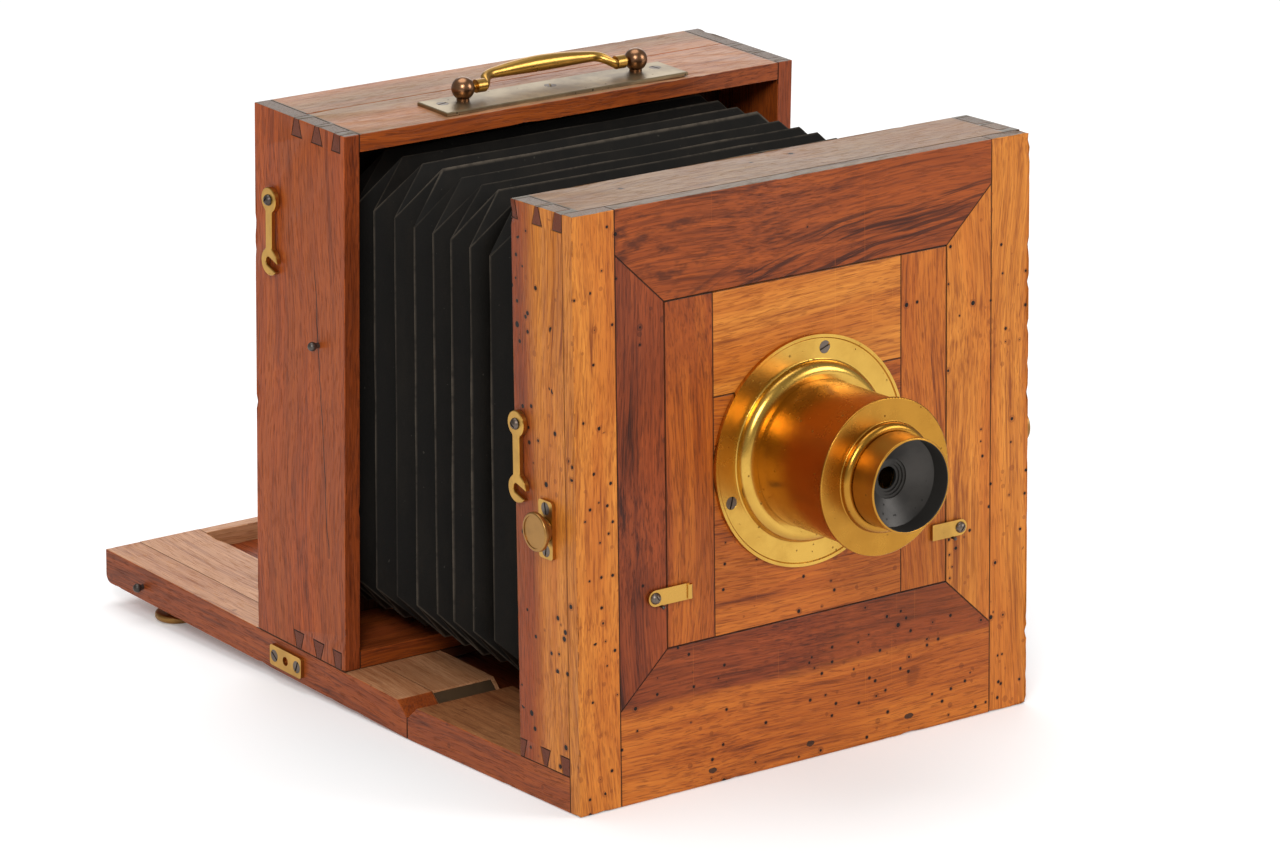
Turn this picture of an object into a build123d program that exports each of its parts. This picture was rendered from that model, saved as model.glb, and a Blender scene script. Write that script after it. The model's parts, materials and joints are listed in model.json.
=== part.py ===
from build123d import *
from math import asin, atan2, cos, degrees, hypot, radians, sin
import os

# Tailboard view camera, in millimetres. X runs across the camera, +Y from the lens to the back, +Z up.
# The origin is the mouth of the tripod bush, in the underside of the front bed.

# Driving dimensions
width = 290.0
half = width / 2
board_t = 9.5
bed_t = 19.0
bed_rail = 22.0
bed_board = 39.0
panel_t = 9.0

face_y = -90.0
face_t = 8.5
front_top = 308.5
front_depth = 51.5
stile_w = 25.5
lens_board_half = 90.0
lens_board_low = 77.5
lens_board_gap = 0.3
mitre_drop = 28.0
cleat_w = 30.0
board_seam = 203.0

hinge_y = face_y + 153.5
groove_depth = 7.6
groove_half = 9.0
hinge_z = bed_t - groove_depth
hinge_gap = 0.15
tail_length = 298.7
end_strip = 8.0
foot_y = 249.0
foot_x = 130.0
foot_height = 10.0
foot_r = 12.0
foot_round = 2.0

rear_start = 57.8
rear_depth = 84.5
rear_height = 291.4
slide_gap = 0.1
rear_seam = 49.8

lens_z = 165.0
barrel_r = 38.5
flange_r = 60.4
disc_r = 40.6
hood_r = 24.5
fit_gap = 0.08
joint_line = 0.1

# The feet stand the tail's rear end off the floor, so the whole tail leans up about the hinge.
lean_reach = foot_y - foot_r + foot_round
lean_drop = hinge_z + foot_height
lean = atan2(lean_drop, lean_reach) - asin(hinge_z / hypot(lean_reach, lean_drop))

box_front = face_y + face_t
box_back = face_y + front_depth
recess_half = half - bed_rail - bed_board
frame_inner = half - board_t

base = Plane.XY
tail = Plane(origin=(0, hinge_y, hinge_z), x_dir=(1, 0, 0), z_dir=(0, -sin(lean), cos(lean)))
tail_top = groove_depth
tail_low = -hinge_z
rear_low = tail_top + slide_gap
rear_high = rear_low + rear_height
rear_end = rear_start + rear_depth

# Each dovetail pin: near and far edge at its root, then at its tip, from the box's front edge.
front_pins = [(0, 8.3, 0, 6.0), (16.7, 25.1, 19.6, 22.2), (37.0, 43.0, 39.5, 43.0)]
rear_pins = [(3.8, 11.7, 3.8, 9.3), (20.2, 30.4, 23.5, 27.1), (39.5, 49.0, 42.5, 46.5)]

os.makedirs("parts", exist_ok=True)


def save(piece, node):
    piece.part.label = node
    export_step(piece.part, f"parts/{node}.step")


def side(frame, x):
    """A plane across the camera at x: its own x runs back and its own y runs up."""
    return Plane(origin=frame.from_local_coords((x, 0, 0)), x_dir=frame.y_dir, z_dir=frame.x_dir)


def upright(frame, y):
    """A plane facing forwards at y: its own x runs across and its own y runs up."""
    return Plane(origin=frame.from_local_coords((0, y, 0)), x_dir=frame.x_dir, z_dir=-frame.y_dir)


def block(frame, across, along, up):
    """A squared piece of wood or brass between three pairs of limits in a frame."""
    spans = (across, along, up)
    middle = tuple((low + high) / 2 for low, high in spans)
    with BuildPart(frame) as piece:
        with Locations(middle):
            Box(*(high - low for low, high in spans))
    return piece


def pin_shapes(start, pins, root, tip, mode):
    """The pins' outlines in a side plane, from the root line to the tip line."""
    for near_root, far_root, near_tip, far_tip in pins:
        Polygon(
            (start + near_root, root),
            (start + far_root, root),
            (start + far_tip, tip),
            (start + near_tip, tip),
            align=None,
            mode=mode,
        )


def dovetailed_side(frame, x, along, up, pins):
    """A box side: its ends are cut away where the top's and bottom's pins come through."""
    with BuildPart() as piece:
        with BuildSketch(side(frame, x)):
            with Locations(((along[0] + along[1]) / 2, (up[0] + up[1]) / 2)):
                Rectangle(along[1] - along[0], up[1] - up[0])
            pin_shapes(along[0], pins, up[1] - board_t, up[1], Mode.SUBTRACT)
            pin_shapes(along[0], pins, up[0] + board_t, up[0], Mode.SUBTRACT)
        extrude(amount=board_t)
    return piece


def pinned_board(frame, along, root, tip, pins, start):
    """A box top or bottom between the sides, with its dovetail pins reaching both outer faces."""
    with BuildPart() as piece:
        with BuildSketch(side(frame, -frame_inner)):
            with Locations(((along[0] + along[1]) / 2, (root + tip) / 2)):
                Rectangle(along[1] - along[0], abs(tip - root))
        extrude(amount=2 * frame_inner)
        for x in (-half, frame_inner):
            with BuildSketch(side(frame, x)):
                pin_shapes(start, pins, root, tip, Mode.ADD)
            extrude(amount=board_t)
    return piece


def ring_frame(frame, along, outer, inner):
    """Four members round a square opening: two full-height stiles, and two rails between them."""
    (x_out, low_out, high_out), (x_in, low_in, high_in) = outer, inner
    with BuildPart(frame) as piece:
        for x in (-1, 1):
            with Locations((x * (x_out + x_in) / 2, sum(along) / 2, (low_out + high_out) / 2)):
                Box(x_out - x_in, along[1] - along[0], high_out - low_out)
        for low, high in ((low_out, low_in), (high_in, high_out)):
            with Locations((0, sum(along) / 2, (low + high) / 2)):
                Box(2 * x_in - joint_line, along[1] - along[0], high - low)
    return piece


# Front bed: two boards and a lower panel between them, chamfered at the back for the folding groove
leaf_span = (86.5, 122.5)
leaf_pocket = (86.3, 122.7)
leaf_t = 1.5
leaf_reach = 10.5
knuckle_r = 3.0
knuckle_room = 3.3
chamfer_angle = degrees(atan2(groove_depth, groove_half))


def leaf_plane(x, angle):
    """A plane across the camera on the hinge axis, its own x running up a chamfer."""
    slope = (0, cos(radians(angle)), sin(radians(angle)))
    return Plane(origin=(x, hinge_y, hinge_z), x_dir=slope, z_dir=(1, 0, 0))


def cut_leaf_room(angle, into):
    """Room for a let-in hinge leaf and for the knuckles, on the +X side."""
    with BuildSketch(leaf_plane(leaf_pocket[0], angle)) as room:
        Circle(knuckle_room)
        with Locations(((leaf_reach + 0.1) / 2, into * leaf_t / 2)):
            Rectangle(leaf_reach + 0.1, leaf_t)
    extrude(room.sketch, amount=leaf_pocket[1] - leaf_pocket[0], mode=Mode.SUBTRACT)


bed_angle = 180 - chamfer_angle
tail_angle = chamfer_angle + degrees(lean)

with BuildPart() as bed_boards:
    with BuildSketch(side(base, recess_half)):
        Polygon(
            (box_front, 0),
            (hinge_y, 0),
            (hinge_y, hinge_z),
            (hinge_y - groove_half, bed_t),
            (box_front, bed_t),
            align=None,
        )
    extrude(amount=half - recess_half)
    cut_leaf_room(bed_angle, 1)
    mirror(about=Plane.YZ)
save(bed_boards, "bed_boards")

bush_r = 8.0
bush_flange_r = 13.0
bush_flange_t = 2.5
bush_bore_r = 4.76
bush_length = bed_t - 7.0
with BuildPart() as bed_panel:
    with BuildSketch():
        with Locations((0, (box_front + hinge_y) / 2)):
            Rectangle(2 * recess_half, hinge_y - box_front)
    extrude(amount=panel_t)
    Cylinder(bush_r, panel_t, align=(Align.CENTER, Align.CENTER, Align.MIN), mode=Mode.SUBTRACT)
    Cylinder(
        bush_flange_r,
        bush_flange_t,
        align=(Align.CENTER, Align.CENTER, Align.MIN),
        mode=Mode.SUBTRACT,
    )
save(bed_panel, "bed_panel")

with BuildPart() as tripod_bush:
    Cylinder(bush_flange_r, bush_flange_t, align=(Align.CENTER, Align.CENTER, Align.MIN))
    Cylinder(bush_r, bush_length, align=(Align.CENTER, Align.CENTER, Align.MIN))
    Cylinder(
        bush_bore_r,
        bush_length,
        align=(Align.CENTER, Align.CENTER, Align.MIN),
        mode=Mode.SUBTRACT,
    )
save(tripod_bush, "tripod_bush")

# Front box, standing on the bed
thumb_y = face_y + 23.4
thumb_z = 145.2
thumb_shank_r = 2.4
front_span = (box_front, box_back)
for node, x in (("front_side_left", -half), ("front_side_right", frame_inner)):
    plain_side = dovetailed_side(base, x, front_span, (bed_t, front_top), front_pins)
    with BuildPart() as front_side:
        add(plain_side.part)
        with BuildSketch(side(base, x)):
            with Locations((thumb_y, thumb_z)):
                Circle(thumb_shank_r + 0.3)
        extrude(amount=board_t, mode=Mode.SUBTRACT)
    save(front_side, node)

for node, root, tip in (
    ("front_top_board", front_top - board_t, front_top),
    ("front_bottom_board", bed_t + board_t, bed_t),
):
    save(pinned_board(base, front_span, root, tip, front_pins, box_front), node)

# Face frame: outer stiles, mitred inner stiles and two mitred rails, all flush
mitre_top = lens_board_low + 2 * lens_board_half + mitre_drop
mitre_low = lens_board_low - mitre_drop + 0.5
board_high = lens_board_low + 2 * lens_board_half
field_half = half - stile_w


def face_piece(points):
    """A flat member of the face frame from its outline, seen from the front."""
    with BuildPart() as piece:
        with BuildSketch(upright(base, box_front)):
            Polygon(*points, align=None)
        extrude(amount=face_t)
    return piece


face_stiles = face_piece([(field_half, 0), (half, 0), (half, front_top), (field_half, front_top)])
with face_stiles:
    mirror(about=Plane.YZ)
save(face_stiles, "face_stiles")

mitred_stiles = face_piece(
    [
        (field_half, mitre_low),
        (field_half, mitre_top),
        (lens_board_half, board_high),
        (lens_board_half, lens_board_low),
    ]
)
with mitred_stiles:
    mirror(about=Plane.YZ)
save(mitred_stiles, "face_mitred_stiles")

face_rails = face_piece(
    [
        (-field_half, front_top),
        (-field_half, mitre_top),
        (-lens_board_half, board_high),
        (lens_board_half, board_high),
        (field_half, mitre_top),
        (field_half, front_top),
    ]
)
lower_rail = face_piece(
    [
        (-field_half, 0),
        (-field_half, mitre_low),
        (-lens_board_half, lens_board_low),
        (lens_board_half, lens_board_low),
        (field_half, mitre_low),
        (field_half, 0),
    ]
)
with face_rails:
    add(lower_rail.part)
save(face_rails, "face_rails")

# Lens board: two upright cleats and a two-piece panel, bored for the barrel
panel_half = lens_board_half - cleat_w
panel_back = box_front - 0.2
panel_thick = panel_back - face_y
lens_low = lens_board_low + lens_board_gap
lens_high = board_high - lens_board_gap
barrel_room = barrel_r + 1.0

with BuildPart() as lens_board_cleats:
    with BuildSketch(upright(base, panel_back)):
        with Locations(((lens_board_half - lens_board_gap + panel_half) / 2, (lens_low + lens_high) / 2)):
            Rectangle(cleat_w - lens_board_gap, lens_high - lens_low)
    extrude(amount=panel_thick)
    mirror(about=Plane.YZ)
save(lens_board_cleats, "lens_board_cleats")

for node, low, high in (
    ("lens_board_lower", lens_low, board_seam - 0.1),
    ("lens_board_upper", board_seam + 0.1, lens_high),
):
    with BuildPart() as lens_panel:
        with BuildSketch(upright(base, panel_back)):
            with Locations((0, (low + high) / 2)):
                Rectangle(2 * panel_half, high - low)
            with Locations((0, lens_z)):
                Circle(barrel_room, mode=Mode.SUBTRACT)
        extrude(amount=panel_thick)
    save(lens_panel, node)

# Inner frame that stops the lens board and carries the bellows' front end
front_frame_t = 10.0
front_frame_back = box_front + front_frame_t
front_frame_half = 84.0
front_frame_mid = (lens_board_low + board_high) / 2
front_bellows_frame = ring_frame(
    base,
    (box_front, front_frame_back),
    (frame_inner, bed_t + board_t, front_top - board_t),
    (front_frame_half, front_frame_mid - front_frame_half, front_frame_mid + front_frame_half),
)
save(front_bellows_frame, "front_bellows_frame")

# Lens: every turned piece is a profile of (radius, distance in front of the face) spun about the lens axis
lens_plane = Plane(origin=(0, face_y, lens_z), x_dir=(1, 0, 0), z_dir=(0, 0, 1))
lens_axis = Axis((0, face_y, lens_z), (0, 1, 0))


def turned(points, rounding=()):
    """A ring or tube spun about the lens axis; rounding holds (point number, radius) pairs."""
    with BuildPart() as piece:
        with BuildSketch(lens_plane) as profile:
            Polygon(*((radius, -ahead) for radius, ahead in points), align=None)
            corners = [(Vector(*lens_plane.from_local_coords((points[n][0], -points[n][1], 0))), r) for n, r in rounding]
            for corner, size in corners:
                local = lens_plane.to_local_coords(corner)
                fillet(profile.vertices().sort_by_distance(local)[0], size)
        revolve(axis=lens_axis)
    return piece


flange_t = 1.8
collar_r = 47.2
collar_ahead = 8.8
bore_r = barrel_r + fit_gap
lens_flange = turned(
    [
        (bore_r, 0),
        (flange_r, 0),
        (flange_r, 2.4),
        (flange_r - 1.6, 2.4),
        (flange_r - 2.2, flange_t),
        (collar_r, flange_t),
        (collar_r, collar_ahead),
        (bore_r, collar_ahead - 0.6),
    ],
    [(6, 5.6), (5, 0.8)],
)

barrel_wall = 2.0
disc_back = 60.4
disc_front = 62.0
barrel_behind = -20.0
lens_barrel = turned(
    [
        (barrel_r - barrel_wall, barrel_behind),
        (barrel_r, barrel_behind),
        (barrel_r, disc_back - 0.1),
        (barrel_r - barrel_wall, disc_back - 0.1),
    ]
)
save(lens_barrel, "lens_barrel")

slip_r = hood_r - 0.6
sleeve_r = slip_r + fit_gap
sleeve_end = disc_front + 5.0
plug_r = barrel_r - barrel_wall - 0.05
front_collar = turned(
    [
        (sleeve_r, 40.0),
        (sleeve_r + 2.5, 40.0),
        (sleeve_r + 2.5, 57.0),
        (plug_r - 2.0, 57.0),
        (plug_r - 2.0, 53.0),
        (plug_r, 53.0),
        (plug_r, disc_back),
        (disc_r, disc_back),
        (disc_r, disc_front),
        (sleeve_r + 4.3, disc_front),
        (sleeve_r + 4.3, sleeve_end),
        (sleeve_r, sleeve_end - 0.6),
    ],
    [(10, 3.0), (9, 0.6), (8, 0.5)],
)
save(front_collar, "front_collar")

hood_front = 82.6
hood_wall = 1.3
cap_seat_start = sleeve_end + 0.1
hood = turned(
    [
        (hood_r - hood_wall, 42.0),
        (slip_r, 42.0),
        (slip_r, cap_seat_start),
        (hood_r, cap_seat_start),
        (hood_r, hood_front),
        (hood_r - hood_wall, hood_front),
    ],
    [(4, 0.5), (5, 0.5)],
)
save(hood, "hood")

# Funnel-shaped washer stop pressed inside the hood, stepped near its hole
stop_hole_r = 5.8
stop_r = hood_r - hood_wall
stop_front = 72.0
stop_hole_ahead = 63.4
stop_t = 1.4
stop_steps = 3
stop_step = 1.5
stop_profile = [(stop_hole_r, stop_hole_ahead - stop_t), (stop_hole_r, stop_hole_ahead)]
for step in range(1, stop_steps + 1):
    radius = stop_hole_r + step * stop_step
    stop_profile.append((radius, stop_hole_ahead + (step - 1) * 0.8))
    stop_profile.append((radius, stop_hole_ahead + step * 0.8))
stop_profile += [
    (stop_r, stop_front),
    (stop_r, stop_front - 2 * stop_t),
    (stop_hole_r + stop_steps * stop_step, stop_hole_ahead - stop_t),
]
save(turned(stop_profile), "washer_stop")

# Rear cell with a cemented pair of lenses: a crown element behind a flint element
cell_front = -6.0
cell_back = -18.0
lens_r = 32.0
seat_r = lens_r + 0.05
cell_r = barrel_r - barrel_wall - 0.05
lens_cell = turned(
    [
        (lens_r - 2.0, cell_front),
        (cell_r, cell_front),
        (cell_r, cell_back),
        (seat_r, cell_back),
        (seat_r, cell_front - 2.0),
        (lens_r - 2.0, cell_front - 2.0),
    ]
)
save(lens_cell, "lens_cell")

# Distances behind the face, at the edge and then at the middle of each surface
flint_front = (8.05, 9.2)
cement = (14.0, 12.0)
crown_back = (16.0, 18.4)
cement_gap = 0.05


def lens_element(front_edge, front_middle, back_edge, back_middle):
    """One lens element between two spherical surfaces, spun about the lens axis."""
    with BuildPart() as element:
        with BuildSketch(lens_plane):
            with BuildLine():
                front = ThreePointArc(
                    (-lens_r, front_edge), (0, front_middle), (lens_r, front_edge), mode=Mode.PRIVATE
                )
                back = ThreePointArc(
                    (-lens_r, back_edge), (0, back_middle), (lens_r, back_edge), mode=Mode.PRIVATE
                )
                ThreePointArc((0, front_middle), front @ 0.75, (lens_r, front_edge))
                Line((lens_r, front_edge), (lens_r, back_edge))
                ThreePointArc((lens_r, back_edge), back @ 0.75, (0, back_middle))
                Line((0, back_middle), (0, front_middle))
            make_face()
        revolve(axis=lens_axis)
    return element


achromat_lenses = lens_element(*flint_front, *cement)
crown = lens_element(cement[0] + cement_gap, cement[1] + cement_gap, *crown_back)
with achromat_lenses:
    add(crown.part)
save(achromat_lenses, "achromat_lenses")

# Fasteners and fittings, each made on a plane whose normal points out of the wood
screw_shank_r = 1.7
flat_head_r = 3.3
flat_head_t = 1.8
round_head_r = 3.2
round_head_rise = 2.2
screw_length = 7.5
slot_w = 0.9
slot_deep = 0.8
sink = Align.MAX
rise = Align.MIN


def at(plane, across, up, out=0.0):
    """The same plane moved to a point given in its own directions."""
    return Plane(
        origin=plane.from_local_coords((across, up, out)), x_dir=plane.x_dir, z_dir=plane.z_dir
    )


def upright_post(radius, length, align, start=0.0, mode=Mode.ADD):
    """A cylinder along the workplane's normal, from a given height."""
    with Locations((0, 0, start)):
        Cylinder(radius, length, align=(Align.CENTER, Align.CENTER, align), mode=mode)


def cut_slot(top, turn, radius):
    """The driver's slot, cut down from the top of a head."""
    with Locations(Location((0, 0, top), (0, 0, turn))):
        Box(2.2 * radius, slot_w, 2 * slot_deep, mode=Mode.SUBTRACT)


def flat_screw(plane, turn):
    """A countersunk wood screw with its head flush with the plane."""
    with BuildPart(plane) as screw:
        with Locations((0, 0, -flat_head_t / 2)):
            Cone(screw_shank_r, flat_head_r, flat_head_t)
        upright_post(screw_shank_r, screw_length, sink, -flat_head_t)
        cut_slot(0, turn, flat_head_r)
    return screw


def round_screw(plane, turn, shank=screw_shank_r, length=screw_length):
    """A round-headed screw whose head sits on the plane."""
    with BuildPart(plane) as screw:
        with Locations((0, 0, round_head_rise - round_head_r)):
            Sphere(round_head_r)
        Box(20, 20, 20, align=(Align.CENTER, Align.CENTER, sink), mode=Mode.SUBTRACT)
        upright_post(shank, length, sink)
        cut_slot(round_head_rise, turn, round_head_r)
    return screw


def catch_pin(plane, radius, stand, length=8.0):
    """A headed pin that a hook drops over: a neck and a ball head."""
    with BuildPart(plane) as pin:
        upright_post(radius * 0.6, stand + length, rise, -length)
        with Locations((0, 0, stand)):
            Sphere(radius)
    return pin


def gather(node, pieces, mirrored=False):
    """Pieces of one body, as separate solids in one node, with their mirror images if asked."""
    with BuildPart() as group:
        for piece in pieces:
            add(piece.part)
        if mirrored:
            mirror(about=Plane.YZ)
    save(group, node)


def save_pair(piece, stem):
    """The right-hand piece and its mirror image on the left, as two nodes."""
    save(piece, f"{stem}_right")
    with BuildPart() as other:
        mirror(piece.part, about=Plane.YZ)
    save(other, f"{stem}_left")


def sunk_holes(points, depth):
    """Holes through a plate for countersunk screws flush with its top."""
    for point in points:
        with Locations((*point, depth)):
            Cylinder(screw_shank_r + 0.1, 3 * depth, mode=Mode.SUBTRACT)
        with Locations((*point, depth - flat_head_t / 2)):
            Cone(screw_shank_r + 0.1, flat_head_r + 0.1, flat_head_t, mode=Mode.SUBTRACT)


front_right = side(base, half)
tail_right = side(tail, half)
front_face = upright(base, face_y)

# Side plates for the thumb screws: upright on the front box, lengthways on the tail
plate_long = 30.2
plate_wide = 11.6
plate_t = 2.0
plate_pitch = 10.8
plate_round = 1.8
tail_plate_y = 112.6
tail_plate_z = -2.3


def bored_plate(plane, across, up, screws):
    """A brass plate with two countersunk screw holes and a bore for the thumb screw."""
    with BuildPart(plane) as plate:
        with BuildSketch(plane):
            RectangleRounded(across, up, plate_round)
            Circle(thumb_shank_r + fit_gap, mode=Mode.SUBTRACT)
        extrude(amount=plate_t)
        sunk_holes(screws, plate_t)
    return plate


thumb_plane = at(front_right, thumb_y, thumb_z)
thumb_screw_points = [(0, plate_pitch), (0, -plate_pitch)]
gather("thumb_plates", [bored_plate(thumb_plane, plate_wide, plate_long, thumb_screw_points)], True)

tail_plate_plane = at(tail_right, tail_plate_y, tail_plate_z)
tail_screw_points = [(plate_pitch, 0), (-plate_pitch, 0)]
gather("tail_plates", [bored_plate(tail_plate_plane, plate_long, plate_wide, tail_screw_points)], True)
gather(
    "tail_plate_screws",
    [
        flat_screw(at(tail_plate_plane, *point, plate_t), turn)
        for point, turn in zip(tail_screw_points, (35, 110))
    ],
    True,
)

# Thumb screws, stored in the front plates; the right-hand one stands further out
knob_r = 10.1
knob_t = 2.8
knob_collar_r = 6.3
thumb_reach = 9.0


def thumb_screw(stand):
    """A thumb screw seen on its plane: disc knob, collar and shank, its disc standing off the plate."""
    with BuildPart(thumb_plane) as screw:
        upright_post(knob_r, knob_t, rise, stand)
        fillet(screw.edges(), 0.9)
        upright_post(knob_r - 1.6, 0.4, sink, stand + knob_t, Mode.SUBTRACT)
        upright_post(knob_collar_r, stand - plate_t - 0.4, sink, stand)
        upright_post(thumb_shank_r, stand + thumb_reach, sink, stand)
    return screw


save(thumb_screw(10.5), "thumb_screw_right")
with BuildPart() as thumb_screw_left:
    mirror(thumb_screw(6.4).part, about=Plane.YZ)
save(thumb_screw_left, "thumb_screw_left")

# Side hooks: a ring eye, a shank and an open claw, hanging from their pivot screws
hook_t = 2.6
hook_stand = 0.8
hook_eye_r = 6.7
hook_shank_w = 5.6
hook_claw_r = 7.4
hook_drop = 33.5
hook_notch_r = 2.5
hook_notch_slope = 17.0
pivot_r = 2.4
hook_front_at = (face_y + 46.0, 195.0)
hook_rear_at = (124.4, 250.8)


def side_hook(plane):
    """A hook hanging from its pivot, its notch open to the front and a little down."""
    with BuildPart() as hook:
        with BuildSketch(plane.offset(hook_stand)) as outline:
            Circle(hook_eye_r)
            with Locations((0, -hook_drop / 2)):
                Rectangle(hook_shank_w, hook_drop)
            with Locations((-0.4, -hook_drop)):
                Circle(hook_claw_r)
            fillet(outline.vertices(), 1.5)
            with Locations(Location((0.4, -hook_drop, 0), (0, 0, hook_notch_slope))):
                Circle(hook_notch_r, mode=Mode.SUBTRACT)
                with Locations((-hook_claw_r, 0)):
                    Rectangle(2 * hook_claw_r, 2 * hook_notch_r, mode=Mode.SUBTRACT)
            Circle(pivot_r + fit_gap, mode=Mode.SUBTRACT)
        extrude(amount=hook_t)
        chamfer(hook.faces().filter_by(plane).sort_by_distance(plane.origin)[-1].edges(), 0.4)
    return hook


front_hook_plane = at(front_right, *hook_front_at)
rear_hook_plane = at(tail_right, *hook_rear_at)
save_pair(side_hook(front_hook_plane), "hook_front")
save_pair(side_hook(rear_hook_plane), "hook_rear")
hook_face = hook_stand + hook_t + 0.3

# Turn buttons that hold the lens board in, resting on their stop pins
button_x = 98.2
button_z = 106.0
button_w = 8.5
button_t = 1.5
button_stand = 0.4
button_reach = {"left": 21.0, "right": 18.5}
stop_pin_r = 1.0
stop_pin_x = 94.0
curl_r = 1.5

for hand, sign in (("left", 1), ("right", -1)):
    button_plane = at(front_face, -sign * button_x, button_z, button_stand)
    reach = button_reach[hand]
    with BuildPart() as turn_button:
        with BuildSketch(button_plane):
            Circle(button_w / 2)
            with Locations((sign * reach / 2, 0)):
                Rectangle(reach, button_w)
            Circle(screw_shank_r + fit_gap, mode=Mode.SUBTRACT)
        extrude(amount=button_t)
        if hand == "left":
            with BuildSketch(Plane.XY.offset(button_z - button_w / 2 + 0.5)) as curl:
                with Locations((-button_x + reach, face_y - button_stand - curl_r)):
                    Circle(curl_r)
            extrude(curl.sketch, amount=button_w - 1.0)
    save(turn_button, f"turn_button_{hand}")

gather(
    "round_head_screws",
    [
        round_screw(at(front_hook_plane, 0, 0, hook_face), 40, pivot_r, screw_length + hook_face),
        round_screw(at(front_face, button_x, button_z, button_stand + button_t + 0.2), 55),
    ],
    True,
)
gather(
    "stop_pins",
    [catch_pin(at(front_face, stop_pin_x, button_z - button_w / 2 - stop_pin_r - 0.05), stop_pin_r, 2.6)],
    True,
)

flange_screw_r = 53.6
flange_screw_angles = (80, 200, 320)
flange_points = [
    (flange_screw_r * cos(radians(a)), lens_z + flange_screw_r * sin(radians(a))) for a in flange_screw_angles
]
with lens_flange:
    with Locations(front_face):
        sunk_holes(flange_points, flange_t)
save(lens_flange, "lens_flange")

flange_screws = [
    flat_screw(at(front_face, *point, flange_t), turn)
    for point, turn in zip(flange_points, (20, 75, 130))
]
thumb_plate_screws = [
    flat_screw(at(thumb_plane, *point, plate_t), turn) for point, turn in zip(thumb_screw_points, (80, 100))
]
with BuildPart() as countersunk_screws:
    for screw in thumb_plate_screws:
        add(screw.part)
    mirror(about=Plane.YZ)
    for screw in flange_screws:
        add(screw.part)
save(countersunk_screws, "countersunk_screws")

# Bed hinges in the groove: let-in leaves on both chamfers, and pins through their knuckles
knuckle_gap = 0.15
knuckle_third = (leaf_span[1] - leaf_span[0]) / 3
hinge_pin_r = 1.5
pin_bore_r = hinge_pin_r + 0.05


def hinge_leaf(angle, into, knuckles):
    """A leaf lying along one chamfer, with knuckles on the given thirds of its length."""
    with BuildPart() as leaf:
        with BuildSketch(leaf_plane(leaf_span[0], angle)) as plate:
            with Locations(((leaf_reach + knuckle_room) / 2, into * leaf_t / 2)):
                Rectangle(leaf_reach - knuckle_room, leaf_t - 0.04)
        extrude(plate.sketch, amount=3 * knuckle_third)
        for third in knuckles:
            start = leaf_span[0] + third * knuckle_third + knuckle_gap / 2
            with BuildSketch(leaf_plane(start, angle)) as knuckle:
                Circle(knuckle_r)
                with Locations((knuckle_room / 2 + 0.5, into * leaf_t / 2)):
                    Rectangle(knuckle_room + 1.0, leaf_t - 0.04)
                Circle(pin_bore_r, mode=Mode.SUBTRACT)
            extrude(knuckle.sketch, amount=knuckle_third - knuckle_gap)
    return leaf


with BuildPart() as hinge_pin:
    with BuildSketch(leaf_plane(leaf_span[0] + 0.2, 0)):
        Circle(hinge_pin_r)
    extrude(amount=3 * knuckle_third - 0.4)
gather("bed_hinge_leaves", [hinge_leaf(bed_angle, 1, (0, 2)), hinge_pin], True)
gather("tail_hinge_leaves", [hinge_leaf(tail_angle, -1, (1,))], True)

# Tail: rails outside, boards inside, a floor panel between them and a strip across the end
tail_round = 5.0
tail_joint = 0.15
tail_profile = [
    (hinge_gap, tail_low),
    (hinge_gap, 0),
    (hinge_gap + groove_half, tail_top),
    (tail_length, tail_top),
    (tail_length, tail_low),
]


def tail_board(inner, outer, leaf_room):
    """A board of the tail between two distances from the middle, on the right-hand side."""
    with BuildPart() as piece:
        with BuildSketch(side(tail, inner)) as outline:
            Polygon(*tail_profile, align=None)
            fillet(outline.vertices().sort_by(Axis.X)[-2:].sort_by(Axis.Y)[0], tail_round)
        extrude(amount=outer - inner)
        if leaf_room:
            cut_leaf_room(tail_angle, -1)
    return piece


gather("tail_rails", [tail_board(half - bed_rail, half, False)], True)
gather("tail_boards", [tail_board(recess_half, half - bed_rail - tail_joint, True)], True)
floor_end = tail_length - end_strip
save(
    block(tail, (-recess_half, recess_half), (hinge_gap, floor_end), (tail_low, tail_low + panel_t)),
    "tail_floor",
)
save(
    block(tail, (-recess_half, recess_half), (floor_end, tail_length), (tail_low + 1.0, tail_top)),
    "tail_end_strip",
)

rear_pin_r = 2.5
pin_stand = 3.6
tail_pin_at = (259.6, -3.4)
rear_pin_at = (82.7, 181.4)
gather("tail_catch_pins", [catch_pin(at(tail_right, *tail_pin_at), rear_pin_r, pin_stand)], True)

# Feet: brass discs on short necks, screwed under the tail's rear corners
foot_disc_t = 4.5
foot_neck_r = 5.0
with BuildPart(tail.offset(tail_low)) as foot:
    with Locations((foot_x, foot_y, -foot_height)):
        Cylinder(foot_r, foot_disc_t, align=(Align.CENTER, Align.CENTER, rise))
    fillet(foot.edges(), foot_round)
    with Locations((foot_x, foot_y, 0)):
        Cylinder(foot_neck_r, foot_height - 1.0, align=(Align.CENTER, Align.CENTER, sink))
gather("tail_feet", [foot], True)

# Rear box, sliding on the tail
rear_span = (rear_start, rear_end)
rear_up = (rear_low, rear_high)
save(dovetailed_side(tail, -half, rear_span, rear_up, rear_pins), "rear_side_left")
save(dovetailed_side(tail, frame_inner, rear_span, rear_up, rear_pins), "rear_side_right")
save(
    pinned_board(tail, rear_span, rear_low + board_t, rear_low, rear_pins, rear_start),
    "rear_bottom_board",
)

seam_gap = 0.4
top_span = (rear_start, rear_start + rear_seam)
gather(
    "rear_top_boards",
    [
        pinned_board(tail, top_span, rear_high - board_t, rear_high, rear_pins, rear_start),
        block(
            tail,
            (-frame_inner, frame_inner),
            (rear_start + rear_seam + seam_gap, rear_end),
            (rear_high - board_t, rear_high),
        ),
    ],
)

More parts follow.
